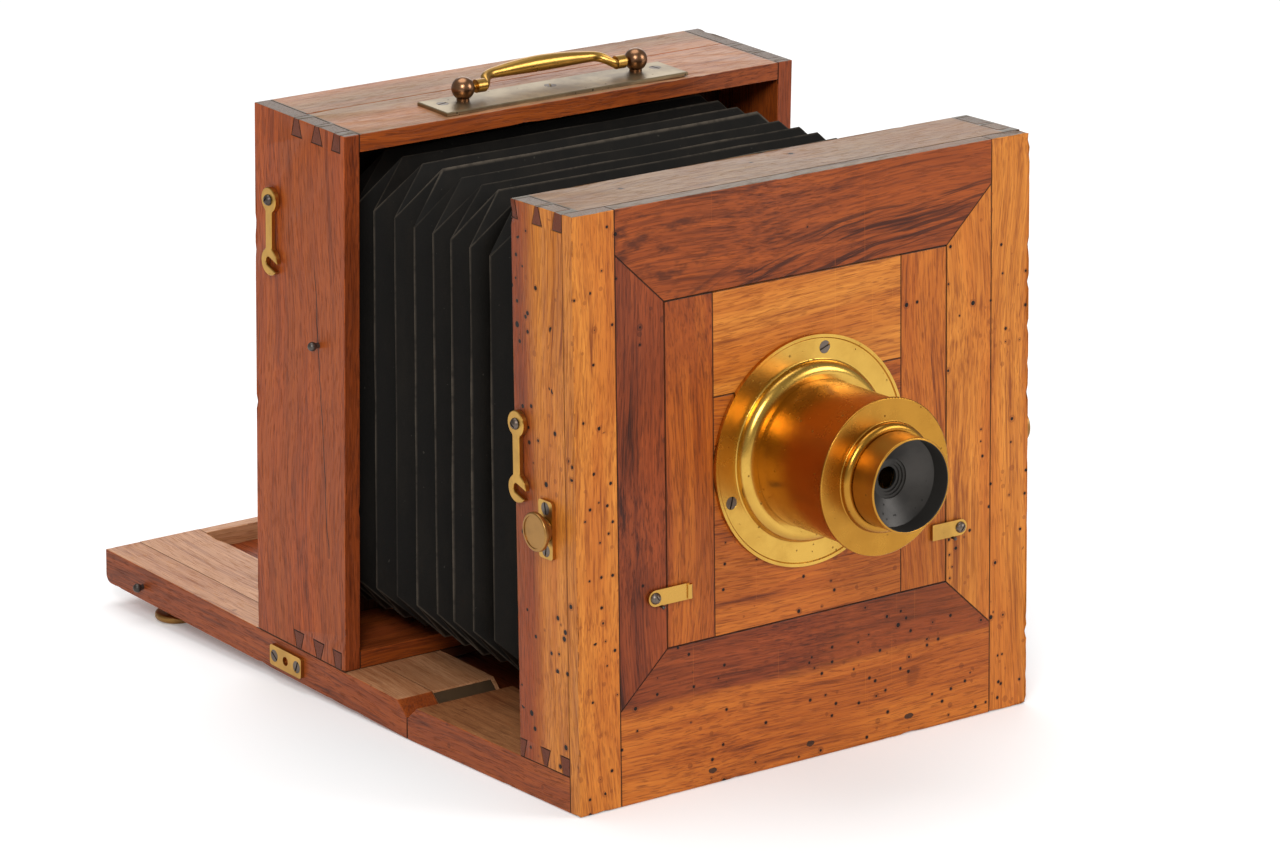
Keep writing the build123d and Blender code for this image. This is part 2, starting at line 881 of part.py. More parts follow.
runner_side = recess_half - 0.4
runner_t = 5.5
save(
    block(tail, (-runner_side, runner_side), rear_span, (rear_low - runner_t, rear_low)),
    "rear_runner",
)

rear_mid = (rear_low + rear_high) / 2
rear_frame_at = 52.0
rear_frame_t = 10.0
rear_frame_half = 112.0
rear_frame_front = rear_start + rear_frame_at
save(
    ring_frame(
        tail,
        (rear_frame_front, rear_frame_front + rear_frame_t),
        (frame_inner, rear_low + board_t, rear_high - board_t),
        (rear_frame_half, rear_mid - rear_frame_half, rear_mid + rear_frame_half),
    ),
    "rear_bellows_frame",
)

gather(
    "rear_hook_screws",
    [round_screw(at(rear_hook_plane, 0, 0, hook_face), 130, pivot_r, screw_length + hook_face)],
    True,
)
gather("rear_catch_pins", [catch_pin(at(tail_right, *rear_pin_at), rear_pin_r, pin_stand)], True)

# Carrying handle: a plate, two ball posts and a bow that swings between them
handle_y = rear_start + 18.0
handle_long = 156.0
handle_wide = 27.4
handle_t = 2.0
handle_screw_x = 69.0
post_y = rear_start + 21.7
post_x = 56.0
ball_r = 6.2
ball_up = 8.3
handle_top = tail.offset(rear_high)
handle_points = [(x, post_y - handle_y) for x in (-handle_screw_x, 0, handle_screw_x)]

with BuildPart(at(handle_top, 0, handle_y)) as handle_plate:
    Box(handle_long, handle_wide, handle_t, align=(Align.CENTER, Align.CENTER, rise))
    chamfer(handle_plate.faces().sort_by(Axis.Z)[-1].edges(), 0.5)
    sunk_holes(handle_points, handle_t)
save(handle_plate, "handle_plate")
gather(
    "handle_plate_screws",
    [
        flat_screw(at(handle_top, x, handle_y + y, handle_t), turn)
        for (x, y), turn in zip(handle_points, (15, 60, 100))
    ],
)

bow_rise = radians(22.0)
bow_reach = 8.4
bow_crown = 1.8
bow_end = 45.0
bow_turn = 13.0
bow_end_r = 2.4
bow_swell = 2.0
ferrule_r = 3.6
ferrule_span = (42.5, 48.0)
bow_pin_r = 1.6
bow_pin_end = 53.5
bow_plane = Plane(
    origin=handle_top.from_local_coords((0, post_y, ball_up)),
    x_dir=(1, 0, 0),
    z_dir=(0, -sin(lean + bow_rise), cos(lean + bow_rise)),
)


def across_bow(x):
    """A plane across the bow's pivot line at x, facing +X."""
    return side(bow_plane, x)


with BuildPart(at(handle_top, post_x, post_y)) as handle_post:
    upright_post(ball_r * 0.55, ball_up - handle_t, rise, handle_t)
    with Locations((0, 0, ball_up)):
        Sphere(ball_r)
    with BuildSketch(across_bow(post_x - ball_r)) as pin_bore:
        Circle(bow_pin_r + 0.05)
    extrude(pin_bore.sketch, amount=bow_pin_end - post_x + ball_r + 0.3, mode=Mode.SUBTRACT)
gather("handle_posts", [handle_post], True)


def bow_offset(x):
    """How far the bow's centre line lies from its pivot line: an S-bend at each end, then a low crown."""
    bend = min(1.0, (bow_end - abs(x)) / bow_turn)
    crown = max(0.0, 1 - (x / (bow_end - bow_turn)) ** 2)
    return bow_reach * bend * bend * (3 - 2 * bend) + bow_crown * crown


bow_stations = 17
with BuildPart() as handle_grip:
    for station in range(bow_stations):
        x = -bow_end + 2 * bow_end * station / (bow_stations - 1)
        slope = (bow_offset(x + 0.1) - bow_offset(x - 0.1)) / 0.2 if abs(x) < bow_end else 0.0
        middle = bow_plane.from_local_coords((x, bow_offset(x), 0))
        along = bow_plane.from_local_coords((x + 1, bow_offset(x) + slope, 0)) - middle
        with BuildSketch(Plane(origin=middle, x_dir=bow_plane.z_dir, z_dir=along)):
            Circle(bow_end_r + bow_swell * (1 - (x / bow_end) ** 2) ** 2)
    loft()
    for sign in (-1, 1):
        for start, end, radius in ((*ferrule_span, ferrule_r), (ferrule_span[1] - 1, bow_pin_end, bow_pin_r)):
            with BuildSketch(across_bow(sign * start)) as collar:
                Circle(radius)
            extrude(collar.sketch, amount=sign * (end - start))
save(handle_grip, "handle_grip")

# Ground-glass frame, let into the back and hinged along its top edge
glass_frame_t = 14.0
glass_side_gap = 0.3
glass_foot_gap = 1.2
glass_half = (115.0, 90.0)
glass_lap = 4.0
glass_t = 2.1
glass_front = rear_end - glass_frame_t
glass_low = rear_low + board_t + glass_foot_gap
glass_high = rear_high - board_t - glass_side_gap
glass_mid = (glass_low + glass_high) / 2
save(
    ring_frame(
        tail,
        (glass_front, rear_end),
        (frame_inner - glass_side_gap, glass_low, glass_high),
        (glass_half[0], glass_mid - glass_half[1], glass_mid + glass_half[1]),
    ),
    "glass_frame",
)
save(
    block(
        tail,
        (-glass_half[0] - glass_lap, glass_half[0] + glass_lap),
        (glass_front - glass_t - 0.05, glass_front - 0.05),
        (glass_mid - glass_half[1] - glass_lap, glass_mid + glass_half[1] + glass_lap),
    ),
    "ground_glass",
)

back_hinge_x = (65.0, 95.0)
back_knuckle_r = 2.2
back_leaf_t = 1.2
back_leaf_reach = 9.0
back_pin_r = 1.1
back_axis = (rear_end + back_knuckle_r + 0.3, rear_high - board_t - glass_side_gap / 2)
back_third = (back_hinge_x[1] - back_hinge_x[0]) / 3


def back_leaf(upward, knuckles):
    """One leaf of a back hinge, lying on the wood above or below the pivot line."""
    leaf_y = rear_end + 0.05 + back_leaf_t / 2 - back_axis[0]
    with BuildPart() as leaf:
        with BuildSketch(at(side(tail, back_hinge_x[0]), *back_axis)) as plate:
            with Locations((leaf_y, upward * (back_leaf_reach + back_knuckle_r + 0.3) / 2)):
                Rectangle(back_leaf_t, back_leaf_reach - back_knuckle_r - 0.3)
        extrude(plate.sketch, amount=3 * back_third)
        for third in knuckles:
            start = back_hinge_x[0] + third * back_third + knuckle_gap / 2
            with BuildSketch(at(side(tail, start), *back_axis)) as knuckle:
                Circle(back_knuckle_r)
                with Locations((leaf_y, upward * (back_knuckle_r + 1) / 2)):
                    Rectangle(back_leaf_t, back_knuckle_r + 1)
                Circle(back_pin_r + 0.05, mode=Mode.SUBTRACT)
            extrude(knuckle.sketch, amount=back_third - knuckle_gap)
    return leaf


with BuildPart() as back_pin:
    with BuildSketch(at(side(tail, back_hinge_x[0] + 0.2), *back_axis)):
        Circle(back_pin_r)
    extrude(amount=3 * back_third - 0.4)
gather("back_hinge_box_leaves", [back_leaf(1, (0, 2)), back_pin], True)
gather("back_hinge_frame_leaves", [back_leaf(-1, (1,))], True)

# Bellows: a plain square tube with chamfered corners, from the front frame to the rear frame
bellows_half = 127.0
bellows_wall = 17.0
bellows_chamfer = 25.0
bellows_gap = 0.6
front_mid = (bed_t + front_top) / 2
bellows_ends = (
    at(upright(base, front_frame_back + bellows_gap), 0, front_mid),
    at(upright(tail, rear_frame_front - bellows_gap), 0, rear_mid),
)
with BuildPart() as bellows:
    for inset, mode in ((0.0, Mode.ADD), (bellows_wall, Mode.SUBTRACT)):
        with BuildSketch(*bellows_ends):
            square = Rectangle(2 * (bellows_half - inset), 2 * (bellows_half - inset))
            chamfer(square.vertices(), bellows_chamfer - inset / 2)
        loft(mode=mode)
save(bellows, "bellows")
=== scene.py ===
import json
import math
import random

import bmesh
import bpy
from mathutils import Matrix, Vector, noise
from mathutils.bvhtree import BVHTree


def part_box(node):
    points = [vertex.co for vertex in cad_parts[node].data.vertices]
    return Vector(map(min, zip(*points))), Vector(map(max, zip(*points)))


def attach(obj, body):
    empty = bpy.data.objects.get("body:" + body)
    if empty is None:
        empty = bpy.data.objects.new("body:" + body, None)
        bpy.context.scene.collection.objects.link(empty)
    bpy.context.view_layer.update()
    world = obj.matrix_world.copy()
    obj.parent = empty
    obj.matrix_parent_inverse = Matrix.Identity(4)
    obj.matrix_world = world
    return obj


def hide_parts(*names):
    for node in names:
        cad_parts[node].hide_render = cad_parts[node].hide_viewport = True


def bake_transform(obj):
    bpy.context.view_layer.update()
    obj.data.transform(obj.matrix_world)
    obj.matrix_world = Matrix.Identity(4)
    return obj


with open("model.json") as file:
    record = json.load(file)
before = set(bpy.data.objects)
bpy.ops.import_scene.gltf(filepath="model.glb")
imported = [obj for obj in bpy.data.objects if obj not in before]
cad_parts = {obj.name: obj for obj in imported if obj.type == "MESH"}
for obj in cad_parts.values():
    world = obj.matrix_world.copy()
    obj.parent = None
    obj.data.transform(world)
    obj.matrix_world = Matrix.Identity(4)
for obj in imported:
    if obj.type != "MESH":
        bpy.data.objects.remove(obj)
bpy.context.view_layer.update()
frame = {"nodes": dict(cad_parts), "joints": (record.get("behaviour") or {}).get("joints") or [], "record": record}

nodes = frame["nodes"]
mm = 0.001
rng = random.Random(7)
noise.seed_set(7)  # the bellows waver the same way on every run

# the tail's own frame: its hinge line and how far it leans
joints = {joint["name"]: joint for joint in frame["joints"]}
tailBack = Vector(joints["rear_slide"]["axis"])
lean = math.atan2(tailBack.z, tailBack.y)
tailFrame = Matrix.Translation(Vector(joints["tail_hinge"]["pos_m"])) @ Matrix.Rotation(lean, 4, "X")


class Wire:
    # a node's output socket that can be written in sums
    def __init__(self, look, socket):
        self.look = look
        self.socket = socket

    def maths(self, operation, first, second=0.0):
        return self.look.node("Math", {"operation": operation}, {0: first, 1: second})

    def __add__(self, other):
        return self.maths("ADD", self, other)

    def __sub__(self, other):
        return self.maths("SUBTRACT", self, other)

    def __rsub__(self, other):
        return self.maths("SUBTRACT", other, self)

    def __mul__(self, other):
        return self.maths("MULTIPLY", self, other)

    def __gt__(self, other):
        return self.maths("GREATER_THAN", self, other)

    def __lt__(self, other):
        return self.maths("LESS_THAN", self, other)

    def __pow__(self, other):
        return self.maths("POWER", self, other)

    def __abs__(self):
        return self.maths("ABSOLUTE", self)

    def most(self, other):
        return self.maths("MAXIMUM", self, other)

    def colour(self):
        # the colour output of the node that this value came from
        return Wire(self.look, self.socket.node.outputs["Color"])

    def ramp(self, low, high, start=0.0, end=1.0):
        # a smooth step from start at low to end at high
        settings = {"interpolation_type": "SMOOTHSTEP"}
        values = {"Value": self, "From Min": low, "From Max": high, "To Min": start, "To Max": end}
        return self.look.node("MapRange", settings, values)

    __radd__ = __add__
    __rmul__ = __mul__


class Look:
    # one material and its nodes
    def __init__(self, name):
        self.material = bpy.data.materials.new(name)
        self.material.use_nodes = True
        self.nodes = self.material.node_tree.nodes
        self.links = self.material.node_tree.links
        self.shader = self.nodes["Principled BSDF"]
        self.objectPlace = self.node("TexCoord", {}, {}, "Object")

    def node(self, kind, settings, values, output=0):
        made = self.nodes.new("ShaderNode" + kind)
        for setting, value in settings.items():
            if setting == "stops":
                while len(made.color_ramp.elements) < len(value):
                    made.color_ramp.elements.new(0.5)
                for element, (place, colour) in zip(made.color_ramp.elements, value):
                    element.position = place
                    element.color = (*colour, 1)
            else:
                setattr(made, setting, value)
        self.fill(made, values)
        return Wire(self, made.outputs[output])

    def fill(self, made, values):
        for key, value in values.items():
            socket = made.inputs[key]
            if isinstance(value, Wire):
                self.links.new(value.socket, socket)
            elif isinstance(value, tuple) and len(value) == 3 and socket.type == "RGBA":
                socket.default_value = (*value, 1)
            else:
                socket.default_value = value

    def mix(self, factor, first, second):
        return self.node("Mix", {"data_type": "RGBA"}, {0: factor, 6: first, 7: second}, 2)

    def noise(self, place, scale, detail=2.0, rough=0.5):
        values = {"Vector": place, "Scale": scale, "Detail": detail, "Roughness": rough}
        return self.node("TexNoise", {}, values)

    def cells(self, place, scale):
        return self.node("TexVoronoi", {"feature": "F1"}, {"Vector": place, "Scale": scale})

    def mapping(self, place, shift=(0, 0, 0), turn=(0, 0, 0), scale=(1, 1, 1)):
        values = {"Vector": place, "Location": shift, "Rotation": turn, "Scale": scale}
        return self.node("Mapping", {}, values)

    def together(self, x, y, z):
        return self.node("CombineXYZ", {}, {0: x, 1: y, 2: z})

    def split(self, place):
        made = self.node("SeparateXYZ", {}, {0: place})
        return [Wire(self, output) for output in made.socket.node.outputs]

    def add(self, first, second):
        return self.node("VectorMath", {"operation": "ADD"}, {0: first, 1: second})

    def dot(self, first, second):
        return self.node("VectorMath", {"operation": "DOT_PRODUCT"}, {0: first, 1: second}, 1)

    def attribute(self, name):
        return self.node("Attribute", {"attribute_name": name}, {}, 2)

    def toned(self, value, tone):
        light, middle, dark = woodTones[tone]
        stops = [(0.16, dark), (0.42, middle), (0.74, light)]
        return self.node("ValToRGB", {"stops": stops}, {"Fac": value})

    def bump(self, height, distance, strength):
        return self.node("Bump", {}, {"Strength": strength, "Distance": distance, "Height": height})

    def finish(self, **sockets):
        self.fill(self.shader, {key.replace("_", " "): value for key, value in sockets.items()})
        return self.material


woodwork = {
    "holeRadius": 1.55 * mm,
    "holeSpacing": 7.0 * mm,
    "holeDepth": 9.0,
    "fillerRadius": 1.5 * mm,
    "crackHalf": 0.36 * mm,
    "crackLean": 0.042,
    "crackReach": (-115 * mm, 30 * mm, 50 * mm),
    "endStrip": 11 * mm,
    "gloss": 0.18,
    "relief": 0.10 * mm,
    "seam": (0.020, 0.007, 0.003),
    # near-black, painted shade inside the worm holes
    "holeShadeColour": (0.006, 0.003, 0.002),
    "grimeColour": (0.040, 0.016, 0.007),
    "fillerColour": (0.022, 0.014, 0.010),
}
# how fine each layer of the grain is across the board, how fine along it, its detail and its roughness
grainLayers = {
    "broad": (30, 2.2, 2, 0.5),
    "streaks": (210, 5, 4, 0.66),
    "lines": (900, 20, 2, 0.6),
    "pores": (1500, 90, 1, 0.5),
    "dashes": (900, 50, 2, 0.5),
}
# light, middle and dark colours of each kind of board
woodTones = {
    "gold": ((0.66, 0.240, 0.036), (0.50, 0.160, 0.022), (0.20, 0.044, 0.008)),
    "amber": ((0.56, 0.170, 0.022), (0.42, 0.110, 0.014), (0.15, 0.030, 0.006)),
    "orange": ((0.50, 0.135, 0.017), (0.36, 0.084, 0.011), (0.12, 0.024, 0.006)),
    "russet": ((0.37, 0.080, 0.012), (0.25, 0.050, 0.009), (0.085, 0.017, 0.005)),
    "chestnut": ((0.45, 0.090, 0.012), (0.31, 0.058, 0.009), (0.11, 0.020, 0.005)),
    "red": ((0.30, 0.060, 0.014), (0.20, 0.038, 0.009), (0.060, 0.012, 0.005)),
    "dark": ((0.28, 0.058, 0.014), (0.17, 0.032, 0.009), (0.036, 0.009, 0.005)),
    "tan": ((0.45, 0.210, 0.100), (0.33, 0.135, 0.056), (0.17, 0.056, 0.022)),
    "pale": ((0.62, 0.320, 0.165), (0.47, 0.215, 0.095), (0.26, 0.090, 0.036)),
    "umber": ((0.42, 0.175, 0.068), (0.30, 0.120, 0.046), (0.14, 0.048, 0.020)),
    # top and dusk serve only faces turned up: their paler, greyer colour is painted sheen
    "top": ((0.285, 0.165, 0.080), (0.21, 0.112, 0.050), (0.11, 0.048, 0.020)),
    "dusk": ((0.185, 0.125, 0.072), (0.135, 0.088, 0.050), (0.07, 0.040, 0.022)),
    "shade": ((0.10, 0.026, 0.008), (0.06, 0.016, 0.006), (0.020, 0.006, 0.003)),
}
endTones = {"X": (0.115, 0.026, 0.010), "Y": (0.090, 0.028, 0.012), "Z": (0.092, 0.080, 0.058)}
grainTurns = {"X": (0, math.pi / 2, 0), "Y": (math.pi / 2, 0, 0), "Z": (0, 0, 0)}


def grainNoise(look, along, layer):
    across, length, detail, rough = grainLayers[layer]
    return look.noise(look.mapping(along, scale=(across, across, length)), 1, detail, rough)


def woodGround(look, place, grain, tones, seed):
    # the board's own figure: two tones in broad bands, streaks, hair lines and open pores along the grain
    draw = random.Random(seed)
    shift = tuple(draw.uniform(-3, 3) for _ in range(3))
    along = look.add(look.mapping(place, turn=grainTurns[grain]), shift)
    bend = look.node("VectorMath", {"operation": "SCALE"}, {0: look.noise(along, 5, 1).colour(), 3: 0.030})
    along = look.add(along, bend)
    broad, streaks, lines = (grainNoise(look, along, layer) for layer in ("broad", "streaks", "lines"))
    pores = grainNoise(look, along, "pores").ramp(0.56, 0.64)
    dashes = grainNoise(look, along, "dashes").ramp(0.60, 0.66)
    figured = broad * 0.50 + streaks * 1.05 + lines * 0.80 - 0.675
    base = look.mix(broad.ramp(0.44, 0.62), look.toned(figured, tones[0]), look.toned(figured, tones[-1]))
    deep = woodTones[tones[0]][2]
    for opened in (dashes, pores):
        base = look.mix(opened * 0.42, base, deep)
    return base, (broad, streaks, lines, pores)


def crotchFigure(look, place, base, centre, stretch, reach):
    # dark lines bent round a far centre, between two radii, and a curlier patch at their left
    near, full, far, gone = reach
    x, y, z = look.split(look.mapping(place, shift=(-centre[0], 0, -centre[1])))
    drift = (look.noise(place, 14, 2) - 0.5) * (10 * mm)
    radius = ((x * x) * stretch ** 2 + z * z) ** 0.5 + drift
    curl = look.noise(look.together(radius * 520.0, x * 14.0, z * 8.0), 1, 3, 0.62)
    within = radius.ramp(near, full) * radius.ramp(far, gone, 1.0, 0.0)
    dark = woodTones["dark"][2]
    base = look.mix(curl.ramp(0.47, 0.60) * within * 0.85, base, dark)
    knot = look.noise(look.mapping(place, turn=(0, 0.5, 0), scale=(60, 60, 150)), 1, 3, 0.6)
    return look.mix(knot.ramp(0.50, 0.68) * x.ramp(-150 * mm, -190 * mm) * 0.7, base, dark)


def scratches(look, place, base, light, deep):
    # long pale scratches, and short dark nicks across them
    long = look.noise(look.mapping(place, turn=(0.5, 0.3, 0.4), scale=(1000, 22, 14)), 1, 1)
    base = look.mix(long.ramp(0.73, 0.77) * 0.30, base, light)
    nicks = look.noise(look.mapping(place, turn=(0.2, 1.0, 0.7), scale=(22, 1100, 30)), 1, 1)
    return look.mix(nicks.ramp(0.75, 0.78) * 0.45, base, deep)


def endGrain(look, place, base, turned, grain, endStrip):
    # end grain is darker, and so are the ends of a top board, where the side boards come through
    normal = look.split(turned)
    endwise = abs(normal["XYZ".index(grain)]).ramp(0.80, 0.95)
    base = look.mix(endwise * 0.86, base, endTones[grain])
    if endStrip:
        x = look.split(place)[0]
        strip = (abs(x) + (look.noise(place, 150) - 0.5) * (1.2 * mm)).ramp(endStrip, endStrip + 0.5 * mm)
        base = look.mix(strip * normal[2].ramp(0.5, 0.9) * 0.85, base, endTones["Z"])
    return base


def edgeMarks(look, place, base, light, seam):
    # bare edges are rubbed pale, deep chips are redder, and joints hold dirt
    edge = look.attribute("edge")
    rub = look.noise(place, 70, 4, 0.7).ramp(0.42, 0.66)
    base = look.mix((edge > 0.5) * rub * 0.42, base, tuple(min(1, c * 1.35) for c in light))
    base = look.mix((edge > 1.5) * 0.6, base, woodTones["red"][1])
    return look.mix((edge < -0.5) * seam, base, woodwork["seam"])


def shake(look, place, base, pin):
    # a crack in the board, running down from a metal pin
    x, y, z = look.split(look.mapping(look.objectPlace, shift=(0, -pin.y, -pin.z)))
    off = y - z * woodwork["crackLean"] + (look.noise(place, 40, 3, 0.6) - 0.5) * (4 * mm)
    low, full, high = woodwork["crackReach"]
    length = z.ramp(high, full) * (z > low)
    return look.mix((abs(off) < woodwork["crackHalf"]) * length * 0.85, base, woodwork["seam"])


def waxSpot(look, place, base, across, level):
    # an old nail hole stopped with dark wax
    x, y, z = look.split(look.mapping(place, shift=(-across, 0, -level)))
    reach = woodwork["fillerRadius"] * (look.noise(place, 400) * 0.8 + 0.6)
    oval = ((x * x * 0.30 + z * z) ** 0.5) < reach
    return look.mix(oval * 0.9, base, woodwork["fillerColour"])


def wormHoles(look, place, base, height, amount, deep):
    spacing = woodwork["holeSpacing"]
    cells = look.cells(place, 1 / spacing)
    chance, share = look.split(cells.colour())[:2]
    crowd = look.noise(place, 14, 1).ramp(0.40, 0.62, 0.12 * amount, amount)
    size = (share * 0.60 + 0.45) * (woodwork["holeRadius"] / spacing)
    bored = chance < crowd
    inHole = (cells < size) * bored
    rim = (cells < size * 1.55) * bored
    base = look.mix(rim * 0.45, base, deep)
    # the hole is painted near-black: painted shade standing in for its depth
    base = look.mix(inHole, base, woodwork["holeShadeColour"])
    return base, height - inHole * woodwork["holeDepth"]


def wood(tones, grain="Z", holes=0.0, seed=0, leaning=False, dirt=0.25, band=None, arcs=None, endStrip=None,
         filler=(), faces=(), crack=None, seam=0.80):
    # tones: one or two names. band: (second tones, direction, where it starts, where it is full)
    # faces: (tones, direction) for the faces turned that way; painted light: a paler painted sheen on faces turned
    # up, a darker painted shade on faces turned to the front
    look = Look(f"{tones[0]}Wood{grain}{seed}")
    place = look.objectPlace
    if leaning:
        place = look.mapping(place, turn=(-lean, 0, 0))
    light, middle, deep = woodTones[tones[0]]
    base, (broad, streaks, lines, pores) = woodGround(look, place, grain, tones, seed)
    if band:
        second, direction, start, full = band
        where = look.dot(place, direction) + (broad - 0.5) * (22 * mm) + (streaks - 0.5) * (14 * mm)
        base = look.mix(where.ramp(start, full), base, woodGround(look, place, grain, second, seed + 90)[0])
    if arcs:
        base = crotchFigure(look, place, base, *arcs)
    turned = look.node("TexCoord", {}, {}, "Normal")
    # painted light: faces turned one way get a second tone, standing in for sheen on tops and shade on front edges
    for number, (second, direction) in enumerate(faces):
        paintedLightFacing = look.dot(turned, direction).ramp(0.80, 0.95)
        base = look.mix(paintedLightFacing, base, woodGround(look, place, grain, second, seed + 50 + number)[0])
    patches = look.noise(place, 8, 3, 0.6)
    base = look.mix(patches.ramp(0.45, 0.75) * 0.35, base, middle)
    grime = look.noise(place, 34, 5, 0.75).ramp(0.60, 0.82)
    base = look.mix(grime * dirt, base, woodwork["grimeColour"])
    base = scratches(look, place, base, light, deep)
    base = endGrain(look, place, base, turned, grain, endStrip)
    base = edgeMarks(look, place, base, light, seam)
    if crack:
        base = shake(look, place, base, crack)
    for across, level in filler:
        base = waxSpot(look, place, base, across, level)
    height = lines * 0.5 + streaks * 0.5 - pores * 0.8
    if holes:
        base, height = wormHoles(look, place, base, height, holes, deep)
    return look.finish(
        Base_Color=base,
        Roughness=broad * 0.10 + pores * 0.2 + grime * 0.2 + patches * 0.12 + 0.27,
        Normal=look.bump(height, woodwork["relief"], 0.8),
        Specular_IOR_Level=woodwork["gloss"],
    )


# light, middle and dark colours of each kind of metal
metalTones = {
    "brass": ((0.62, 0.37, 0.075), (0.44, 0.23, 0.038), (0.10, 0.050, 0.016)),
    "barrel": ((0.50, 0.23, 0.034), (0.36, 0.145, 0.020), (0.09, 0.036, 0.010)),
    "collar": ((0.46, 0.22, 0.032), (0.33, 0.145, 0.020), (0.09, 0.036, 0.010)),
    "fitting": ((0.55, 0.31, 0.070), (0.33, 0.175, 0.045), (0.06, 0.030, 0.014)),
    "dull": ((0.38, 0.20, 0.060), (0.22, 0.115, 0.040), (0.05, 0.030, 0.016)),
    "plate": ((0.34, 0.26, 0.15), (0.20, 0.15, 0.095), (0.06, 0.045, 0.034)),
    "copper": ((0.30, 0.15, 0.075), (0.17, 0.085, 0.045), (0.04, 0.022, 0.014)),
    "steel": ((0.18, 0.145, 0.12), (0.085, 0.062, 0.048), (0.03, 0.016, 0.010)),
    "old": ((0.13, 0.075, 0.036), (0.07, 0.040, 0.022), (0.03, 0.018, 0.010)),
    "iron": ((0.10, 0.085, 0.075), (0.05, 0.038, 0.032), (0.02, 0.012, 0.010)),
    "black": ((0.020, 0.018, 0.017), (0.012, 0.011, 0.010), (0.006, 0.005, 0.005)),
    "grey": ((0.050, 0.044, 0.038), (0.028, 0.025, 0.022), (0.010, 0.009, 0.008)),
}
metalwork = {
    "relief": 0.03 * mm,
    "rings": 1800.0,
    "lensHeight": (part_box("hood")[0].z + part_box("hood")[1].z) / 2,
}


def metal(tone, roughness=0.28, specks=0.5, tarnish=0.45, metallic=1.0, turned=False, blackWithin=0.0):
    # blackWithin: how far from the lens's axis a tube is blackened
    look = Look(f"{tone}Metal{round(roughness * 100)}{'Turned' if turned else ''}")
    light, middle, dark = metalTones[tone]
    place = look.objectPlace
    cloud = look.noise(place, 42, 4, 0.62)
    base = look.mix(cloud.ramp(0.38, 0.68) * tarnish, light, middle)
    spots = look.noise(place, 330, 3, 0.7).ramp(0.68, 0.74) * cloud.ramp(0.42, 0.62)
    dots = look.cells(place, 210)
    spots = spots.most((dots < 0.13) * look.noise(place, 60).ramp(0.52, 0.58))
    base = look.mix(spots * specks, base, dark)
    height = look.noise(place, 900, 3, 0.6) * 0.4 - spots * 1.2
    rough = cloud * 0.16 + spots * 0.35 + (roughness - 0.08)
    if turned:
        # fine rings left by the lathe and by years of wiping
        x, y, z = look.split(look.mapping(place, shift=(0, 0, -metalwork["lensHeight"])))
        radius = (x * x + z * z) ** 0.5
        rings = metalwork["rings"]
        height = height + look.noise(look.together(radius * rings, y * rings, 0.0), 1, 2, 0.6) * 0.9
        if blackWithin:
            inside = radius < blackWithin
            base = look.mix(inside, base, metalTones["grey"][1])
            metallic = inside * -0.7 + metallic
            rough = rough.most(inside * 0.5)
    return look.finish(
        Base_Color=base,
        Metallic=metallic,
        Roughness=rough,
        Normal=look.bump(height, metalwork["relief"], 0.7),
    )


leatherwork = {
    "black": (0.0040, 0.0032, 0.0022),
    "dusty": (0.0085, 0.0066, 0.0046),
    "rubbed": (0.085, 0.068, 0.050),
    "fleck": (0.10, 0.09, 0.07),
    "gloss": 0.14,
    "relief": 0.08 * mm,
}


def leather():
    look = Look("bellowsLeather")
    place = look.objectPlace
    cloth = look.noise(place, 1500, 2, 0.6)
    dust = look.noise(look.mapping(place, scale=(1, 1, 0.35)), 60, 4, 0.65)
    base = look.mix(dust.ramp(0.35, 0.75), leatherwork["black"], leatherwork["dusty"])
    # folds are rubbed through to the brown
    uneven = look.noise(place, 170, 3, 0.6).ramp(0.25, 0.6, 0.35, 1.0)
    base = look.mix(look.attribute("worn").ramp(0.90, 1.0) * uneven * 0.85, base, leatherwork["rubbed"])
    flecks = look.noise(place, 420).ramp(0.74, 0.78)
    base = look.mix(flecks * 0.25, base, leatherwork["fleck"])
    return look.finish(
        Base_Color=base,
        Roughness=dust * 0.15 + 0.60,
        Normal=look.bump(cloth + look.noise(place, 240, 3, 0.6) * 2.0, leatherwork["relief"], 0.7),
        Specular_IOR_Level=leatherwork["gloss"],
    )


def glass(name, rough, colour):
    look = Look(name)
    smear = look.noise(look.objectPlace, 30, 4, 0.6)
    return look.finish(Base_Color=colour, Roughness=smear * 0.05 + rough, Transmission_Weight=1.0, IOR=1.5)


print("looks ready")


def copyOf(node):
    bm = bmesh.new()
    bm.from_mesh(nodes[node].data)
    bmesh.ops.remove_doubles(bm, verts=bm.verts, dist=0.002 * mm)
    return bm


def makeObject(name, bm, materials, body=None, smoothAngle=None):
    mesh = bpy.data.meshes.new(name)
    bm.to_mesh(mesh)
    bm.free()
    piece = bpy.data.objects.new(name, mesh)
    bpy.context.scene.collection.objects.link(piece)
    for material in materials:
        mesh.materials.append(material)
    if smoothAngle is not None:
        mesh.shade_smooth()
        mesh.set_sharp_from_angle(angle=math.radians(smoothAngle))
    if body:
        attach(piece, body)
    return piece


def sharpEdges(bm, degrees):
    return [e for e in bm.edges if len(e.link_faces) == 2 and e.calc_face_angle(0) > math.radians(degrees)]


def rounded(bm, edges, offset):
    return bmesh.ops.bevel(
        bm, geom=edges, offset=offset, offset_type="OFFSET", segments=2, profile=0.5,
        affect="EDGES", material=-1, clamp_overlap=True,
    )["faces"]


bodyOf = {node: body for body, names in frame["record"]["behaviour"]["bodies"].items() for node in names}
boardWear = {
    "round": 0.42 * mm,
    "piece": 4 * mm,
    "jointReach": 1.0 * mm,
    "flatAngle": 0.6,
    "sharpAngle": 20,
    "smoothAngle": 25,
    # fineness, depth and rarity of the chips knocked out of bare edges
    "usualChips": (95, 0.7 * mm, 0.34),
    "chips": {"face_stiles": (210, 1.0 * mm, 0.20)},
    "deepChip": 0.10,
}
trees = {}


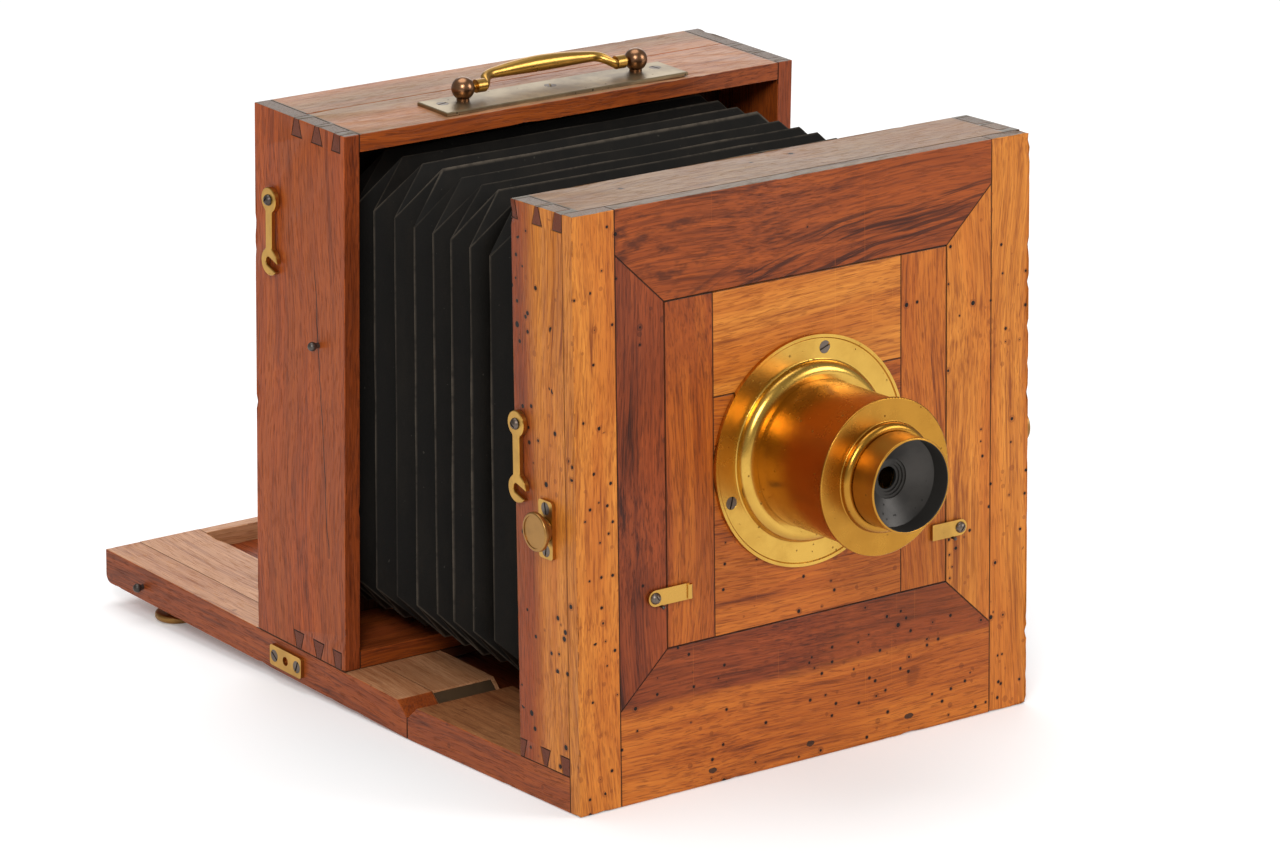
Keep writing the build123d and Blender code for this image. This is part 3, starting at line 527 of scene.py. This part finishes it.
def treeOf(node):
    if node not in trees:
        bm = copyOf(node)
        trees[node] = BVHTree.FromBMesh(bm)
        bm.free()
    return trees[node]


def isJoint(node, point):
    # whether another board lies against this edge
    others = (treeOf(other) for other in boards if other != node)
    return any(tree.find_nearest(point, boardWear["jointReach"])[0] is not None for tree in others)


def chipEdges(node, verts, edgeMark):
    size, depth, rarity = boardWear["chips"].get(node, boardWear["usualChips"])
    for vert in verts:
        chip = noise.noise(vert.co * size) - rarity
        if chip > 0:
            vert.co -= vert.normal * min(chip * 3.0, 1.0) * depth
            if chip > boardWear["deepChip"]:
                for face in vert.link_faces:
                    if face[edgeMark] > 0.5:
                        face[edgeMark] = 2.0


def softenedBoard(node, materials):
    # the CAD board with its edges rubbed round and chipped, and its joints marked
    bm = copyOf(node)
    edgeMark = bm.faces.layers.float.new("edge")  # -1 joint, 1 bare edge, 2 deep chip
    flat = math.radians(boardWear["flatAngle"])
    bmesh.ops.dissolve_limit(bm, angle_limit=flat, verts=bm.verts, edges=bm.edges)
    for edge in sharpEdges(bm, boardWear["sharpAngle"]):
        cuts = int(edge.calc_length() / boardWear["piece"])
        if cuts:
            bmesh.ops.subdivide_edges(bm, edges=[edge], cuts=cuts)
    made = rounded(bm, sharpEdges(bm, boardWear["sharpAngle"]), boardWear["round"])
    bm.normal_update()
    bareVerts = set()
    for face in made:
        joint = isJoint(node, face.calc_center_median())
        face[edgeMark] = -1.0 if joint else 1.0
        if not joint:
            bareVerts.update(face.verts)
    chipEdges(node, bareVerts, edgeMark)
    middle = (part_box(node)[0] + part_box(node)[1]) / 2
    for face in bm.faces:
        away = face.calc_center_median() - middle
        second = away.z > 0 if node == "face_rails" else away.x > 0
        face.material_index = int(len(materials) > 1 and second)
    name = f"{node}_worn"
    piece = makeObject(name, bm, materials, bodyOf[node], boardWear["smoothAngle"])
    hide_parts(node)


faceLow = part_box("face_rails")[0].z
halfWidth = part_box("rear_top_boards")[1].x - woodwork["endStrip"]
catchPin = (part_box("rear_catch_pins")[0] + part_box("rear_catch_pins")[1]) / 2
upward, frontward = (0, 0, 1), (0, -1, 0)
figures = {
    # where the pale front of a side board turns red, and where the lower rail turns dark
    "sideBand": (["russet", "red"], (0, 1, 0), -62 * mm, -50 * mm),
    "railBand": (["dark", "red"], upward, 46 * mm, 52 * mm),
    # the upper rail's figure: its centre, how far it is drawn out, and the radii between which it shows
    "crotch": ((120 * mm, 235 * mm), 0.25, (26 * mm, 34 * mm, 50 * mm, 56 * mm)),
    "waxSpots": [(-62 * mm, faceLow + 7 * mm), (1 * mm, faceLow + 8 * mm), (66 * mm, faceLow + 9 * mm)],
}
# one material for the left or lower part of a node, and a second for the right or upper part
boards = {
    "face_stiles": [wood(["gold", "amber"], "Z", 0.95, 1, dirt=0.35), wood(["gold", "amber"], "Z", 1.1, 31)],
    "face_mitred_stiles": [wood(["dark", "red"], "Z", 0.10, 2), wood(["gold", "amber"], "Z", 1.1, 32)],
    "face_rails": [
        wood(["orange", "amber"], "X", 0.75, 33, dirt=0.35,
             filler=figures["waxSpots"], band=figures["railBand"]),
        # the upper rail's top face gets a paler, greyer tone: painted sheen
        wood(["russet", "red"], "X", 0.03, 3, arcs=figures["crotch"], faces=[(["dusk", "top"], upward)]),
    ],
    "lens_board_cleats": [wood(["russet", "orange"], "Z", 0.0, 4), wood(["amber", "orange"], "Z", 0.1, 34)],
    "lens_board_upper": [wood(["gold", "amber"], "X", 0.0, 5, dirt=0.15)],
    "lens_board_lower": [wood(["orange", "amber"], "X", 0.6, 6)],
    "front_side_left": [wood(["gold", "amber"], "Z", 0.6, 7, seam=0.5, band=figures["sideBand"])],
    "front_side_right": [wood(["gold", "amber"], "Z", 0.5, 8, seam=0.5, band=figures["sideBand"])],
    # the top face gets the top tone: painted sheen
    "front_top_board": [wood(["russet"], "X", 0.05, 9, endStrip=halfWidth, faces=[(["top"], upward)])],
    "front_bottom_board": [wood(["russet"], "X", 0.0, 10)],
    # the bed's top face gets the umber tone: painted sheen
    "bed_boards": [wood(["russet", "orange"], "Y", 0.1, 11, faces=[(["umber"], upward)])],
    "bed_panel": [wood(["umber"], "Y", 0.0, 12)],
    # the rails' top faces get the pale tone: painted sheen
    "tail_rails": [wood(["russet", "red"], "Y", 0.05, 13, leaning=True, faces=[(["pale"], upward)])],
    "tail_boards": [wood(["pale", "tan"], "Y", 0.0, 14, leaning=True)],
    "tail_floor": [wood(["red"], "Y", 0.0, 15, leaning=True)],
    "tail_end_strip": [wood(["pale"], "X", 0.0, 16, leaning=True)],
    # the rear side boards' front edges get a darker red tone: painted shade
    "rear_side_left": [wood(["chestnut", "russet"], "Z", 0.0, 17, leaning=True, crack=catchPin,
                            faces=[(["red"], frontward)])],
    "rear_side_right": [wood(["chestnut", "russet"], "Z", 0.0, 18, leaning=True,
                             faces=[(["red"], frontward)])],
    # the top face gets the tan and top tones: painted sheen
    "rear_top_boards": [wood(["russet"], "X", 0.0, 19, leaning=True, endStrip=halfWidth,
                             faces=[(["tan", "top"], upward)])],
    "rear_bottom_board": [wood(["russet", "red"], "X", 0.0, 20, leaning=True)],
    "rear_runner": [wood(["red"], "Y", 0.0, 21, leaning=True)],
    "front_bellows_frame": [wood(["shade"], "Z", 0.0, 22)],
    "rear_bellows_frame": [wood(["shade"], "Z", 0.0, 23, leaning=True)],
    "glass_frame": [wood(["red", "russet"], "Z", 0.0, 24, leaning=True)],
}
for node, materials in boards.items():
    softenedBoard(node, materials)
print("boards ready")

hoodOutside = (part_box("hood")[1].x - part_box("hood")[0].x) / 2
fittingBrass = metal("fitting", 0.30, 0.6, 0.55)
dullBrass = metal("dull", 0.40, 0.7, 0.7)
dressed = {
    fittingBrass: ["tripod_bush", "thumb_plates", "tail_plates", "hook_front_left", "hook_front_right",
                   "hook_rear_left", "hook_rear_right", "turn_button_left", "turn_button_right",
                   "handle_grip"],
    dullBrass: ["thumb_screw_left", "thumb_screw_right", "tail_feet", "back_hinge_box_leaves",
                "back_hinge_frame_leaves"],
    metal("old", 0.5, 0.6, 0.8, 0.5): ["bed_hinge_leaves", "tail_hinge_leaves"],
    metal("plate", 0.38, 0.7, 0.9): ["handle_plate"],
    metal("brass", 0.25, turned=True): ["lens_flange"],
    metal("collar", 0.27, turned=True): ["front_collar"],
    metal("barrel", 0.26, turned=True): ["lens_barrel"],
    metal("collar", 0.34, turned=True, blackWithin=hoodOutside - 1.0 * mm): ["hood"],
    metal("copper", 0.28, 0.5, 0.6): ["handle_posts"],
    metal("steel", 0.42, 0.8, 0.8): ["countersunk_screws", "round_head_screws", "tail_plate_screws",
                                     "handle_plate_screws"],
    metal("iron", 0.40, 0.6, 0.8, 0.8): ["stop_pins", "tail_catch_pins", "rear_catch_pins",
                                         "rear_hook_screws"],
    metal("grey", 0.42, 0.3, 0.8, 0.5): ["washer_stop"],
    metal("black", 0.55, 0.2, 0.5, 0.4): ["lens_cell"],
    glass("lensGlass", 0.02, (0.93, 0.97, 0.95)): ["achromat_lenses"],
    glass("groundGlass", 0.55, (0.90, 0.93, 0.92)): ["ground_glass"],
}
for material, names in dressed.items():
    for node in names:
        nodes[node].data.materials.clear()
        nodes[node].data.materials.append(material)
print("fittings ready")

# an eight-sided pleated tube whose side folds and top folds lie half a pitch apart
bellows = {
    "half": 127 * mm,
    "depth": 16 * mm,
    "flat": 102.5 * mm,
    "cornerInset": 40.5 * mm,
    "pitches": [17, 17.5, 17.5, 18.3, 18.5, 18.2, 16.2, 16.1, 18.2, 22.4, 21, 20, 16.5],
    "frontLevel": 163.75 * mm,
    "rearSpot": (0, 109.2 * mm, 153.4 * mm),
    "jitter": 0.7 * mm,
    "waver": 24,
    "longEdge": 90 * mm,
    "longCuts": 7,
    "foldAngle": 40,
    "smoothAngle": 38,
    "ridgeRound": 0.9 * mm,
    "wall": 1.1 * mm,
    "seamFold": 9,
}
frontRing = Matrix.Translation((0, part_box("bellows")[0].y, bellows["frontLevel"]))
rearRing = tailFrame @ Matrix.Translation(bellows["rearSpot"])


def ringAt(share):
    # the tube's cross-section plane at a share of the way from the front frame to the rear frame
    middle = frontRing.translation.lerp(rearRing.translation, share)
    return Matrix.Translation(middle) @ Matrix.Rotation(lean * share, 4, "X")


def ringPoints(sideOut, share):
    # sideOut: 1 where the side folds stand out and the top folds lie in
    half, depth, flat = bellows["half"], bellows["depth"], bellows["flat"]
    x = half - depth * (1 - sideOut)
    z = half - depth * sideOut
    corners = [(x, -flat), (x, flat), (flat, z), (-flat, z)]
    corners += [(-across, -up) for across, up in corners]
    place = ringAt(share)
    points = []
    for across, up in corners:
        drift = [rng.uniform(-bellows["jitter"], bellows["jitter"]) for _ in range(3)]
        points.append(place @ Vector((across + drift[0] * 0.4, drift[1], up + drift[2])))
    return points


lines = [0.0]
for pitch in reversed(bellows["pitches"]):
    lines += [lines[-1] + pitch / 2, lines[-1] + pitch]
lines = [line / lines[-1] for line in lines]
rings = [ringPoints(1 - n % 2, share) for n, share in enumerate(lines)]


def pleatedTube(bm, first, last):
    # rows of eight points, each drawn out of the row before it
    rows = []
    for n in range(first, last + 1):
        if not rows:
            row = list(bmesh.ops.create_circle(bm, segments=8, radius=0.1)["verts"])
        else:
            made = bmesh.ops.extrude_edge_only(bm, edges=edges)["geom"]
            above = [v for v in made if isinstance(v, bmesh.types.BMVert)]
            row = [next(v for v in above if bm.edges.get((v, old))) for old in rows[-1]]
        edges = [bm.edges.get((row[i], row[(i + 1) % 8])) for i in range(8)]
        for vert, point in zip(row, rings[n]):
            vert.co = point
        rows.append(row)
    # each corner is creased from a side ridge's end to the next top ridge's end
    for k, (near, far) in enumerate(zip(rows, rows[1:])):
        sideFirst = (first + k) % 2 == 0
        for side, top in ((1, 2), (4, 3), (5, 6), (0, 7)):
            pair = [near[side], far[top]] if sideFirst else [far[side], near[top]]
            bmesh.ops.connect_verts(bm, verts=pair)


def markRidges(bm):
    # how far out each point stands, from 0 in a valley to 1 on a ridge
    worn = bm.verts.layers.float.new("worn")
    half, depth = bellows["half"], bellows["depth"]
    frontY, rearY = rings[0][0].y, rings[-1][0].y
    for vert in bm.verts:
        share = (vert.co.y - frontY) / (rearY - frontY)
        local = ringAt(min(max(share, 0), 1)).inverted() @ vert.co
        across, up = abs(local.x), abs(local.z)
        out = max(across - half + depth, up - half + depth, across + up - 2 * half + bellows["cornerInset"])
        vert[worn] = min(max(out / depth, 0), 1)


def buildBellows(name, first, last):
    bm = bmesh.new()
    pleatedTube(bm, first, last)
    long = [e for e in bm.edges if e.calc_length() > bellows["longEdge"]]
    bmesh.ops.subdivide_edges(bm, edges=long, cuts=bellows["longCuts"], use_grid_fill=False)
    for vert in bm.verts:
        # the cloth wavers a little along each fold
        vert.co += noise.noise_vector(vert.co * bellows["waver"]) * bellows["jitter"]
    bmesh.ops.recalc_face_normals(bm, faces=bm.faces)
    rounded(bm, sharpEdges(bm, bellows["foldAngle"]), bellows["ridgeRound"])
    bmesh.ops.triangulate(bm, faces=[f for f in bm.faces if len(f.verts) > 4])
    markRidges(bm)
    piece = makeObject(name, bm, [bellowsLook], None, bellows["smoothAngle"])
    wall = piece.modifiers.new("wall", "SOLIDIFY")
    wall.thickness = bellows["wall"]
    wall.offset = -1
    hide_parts("bellows")
    start = ringAt(lines[first]).translation
    end = ringAt(lines[last]).translation
    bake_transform(piece)


bellowsLook = leather()
seamFold = bellows["seamFold"]
buildBellows("bellowsFront", 0, seamFold)
buildBellows("bellowsMain", seamFold, len(lines) - 1)
print("bellows ready")

studio = {
    "floorSize": 8.0,
    "floorDrop": 0.4 * mm,
    "floorColour": (0.90, 0.90, 0.90),
    "world": 0.32,
    "glow": 0.165,
    "aim": (0, 0.1, 0.15),
    "lights": [
        # name, place, size, watts
        ("keyLight", (-2.4, -2.6, 2.6), 1.6, 92),
        ("fillLight", (2.4, -2.6, 1.6), 1.8, 50),
        ("topLight", (0.0, 0.6, 2.8), 2.4, 42),
        ("backLight", (1.9, 2.6, 1.3), 2.2, 17),
    ],
}


def paleGround(colour, glow):
    look = Look("paleFloor")
    base = look.mix(look.noise(look.objectPlace, 2), colour, tuple(c * 0.99 for c in colour))
    return look.finish(Base_Color=base, Roughness=0.8, Specular_IOR_Level=0.1, Emission_Color=(1, 1, 1),
                       Emission_Strength=glow)


def addObject(name, data):
    made = bpy.data.objects.new(name, data)
    bpy.context.scene.collection.objects.link(made)
    return made


bm = bmesh.new()
bmesh.ops.create_grid(bm, x_segments=1, y_segments=1, size=studio["floorSize"] / 2)
bmesh.ops.translate(bm, verts=bm.verts, vec=(0, 0, -studio["floorDrop"]))
floor = makeObject("floor", bm, [paleGround(studio["floorColour"], studio["glow"])])

world = bpy.data.worlds.new("studioWorld")
bpy.context.scene.world = world
world.use_nodes = True
background = world.node_tree.nodes["Background"]
background.inputs["Color"].default_value = (1, 1, 1, 1)
background.inputs["Strength"].default_value = studio["world"]

for name, place, size, watts in studio["lights"]:
    lamp = bpy.data.lights.new(name, "AREA")
    lamp.shape = "DISK"
    lamp.size = size
    lamp.energy = watts
    lampObject = addObject(name, lamp)
    lampObject.location = place
    lampObject.rotation_euler = (Vector(studio["aim"]) - Vector(place)).to_track_quat("-Z", "Y").to_euler()

view = {
    "azimuth": -36.234,
    "elevation": 15.937,
    "roll": -0.682,
    "distance": 3.0573,
    "target": (0.0009, 0.0550, 0.1448),
    "lens": 163.48,
    "sensor": 36,
}
azimuth, elevation, roll = (math.radians(view[key]) for key in ("azimuth", "elevation", "roll"))
right = Vector((math.cos(azimuth), math.sin(azimuth), 0))
forward = Vector((math.sin(azimuth), -math.cos(azimuth), 0))  # level, from the object to the camera
back = forward * math.cos(elevation) + Vector((0, 0, math.sin(elevation)))
rolledRight = right * math.cos(roll) + back.cross(right) * math.sin(roll)
turn = Matrix((rolledRight, back.cross(rolledRight), back)).transposed().to_4x4()
cameraData = bpy.data.cameras.new("camera")
cameraData.lens = view["lens"]
cameraData.sensor_width = view["sensor"]
camera = addObject("camera", cameraData)
camera.matrix_world = Matrix.Translation(Vector(view["target"]) + back * view["distance"]) @ turn
bpy.context.scene.camera = camera
bpy.context.scene.view_settings.view_transform = "Standard"
print("studio ready")
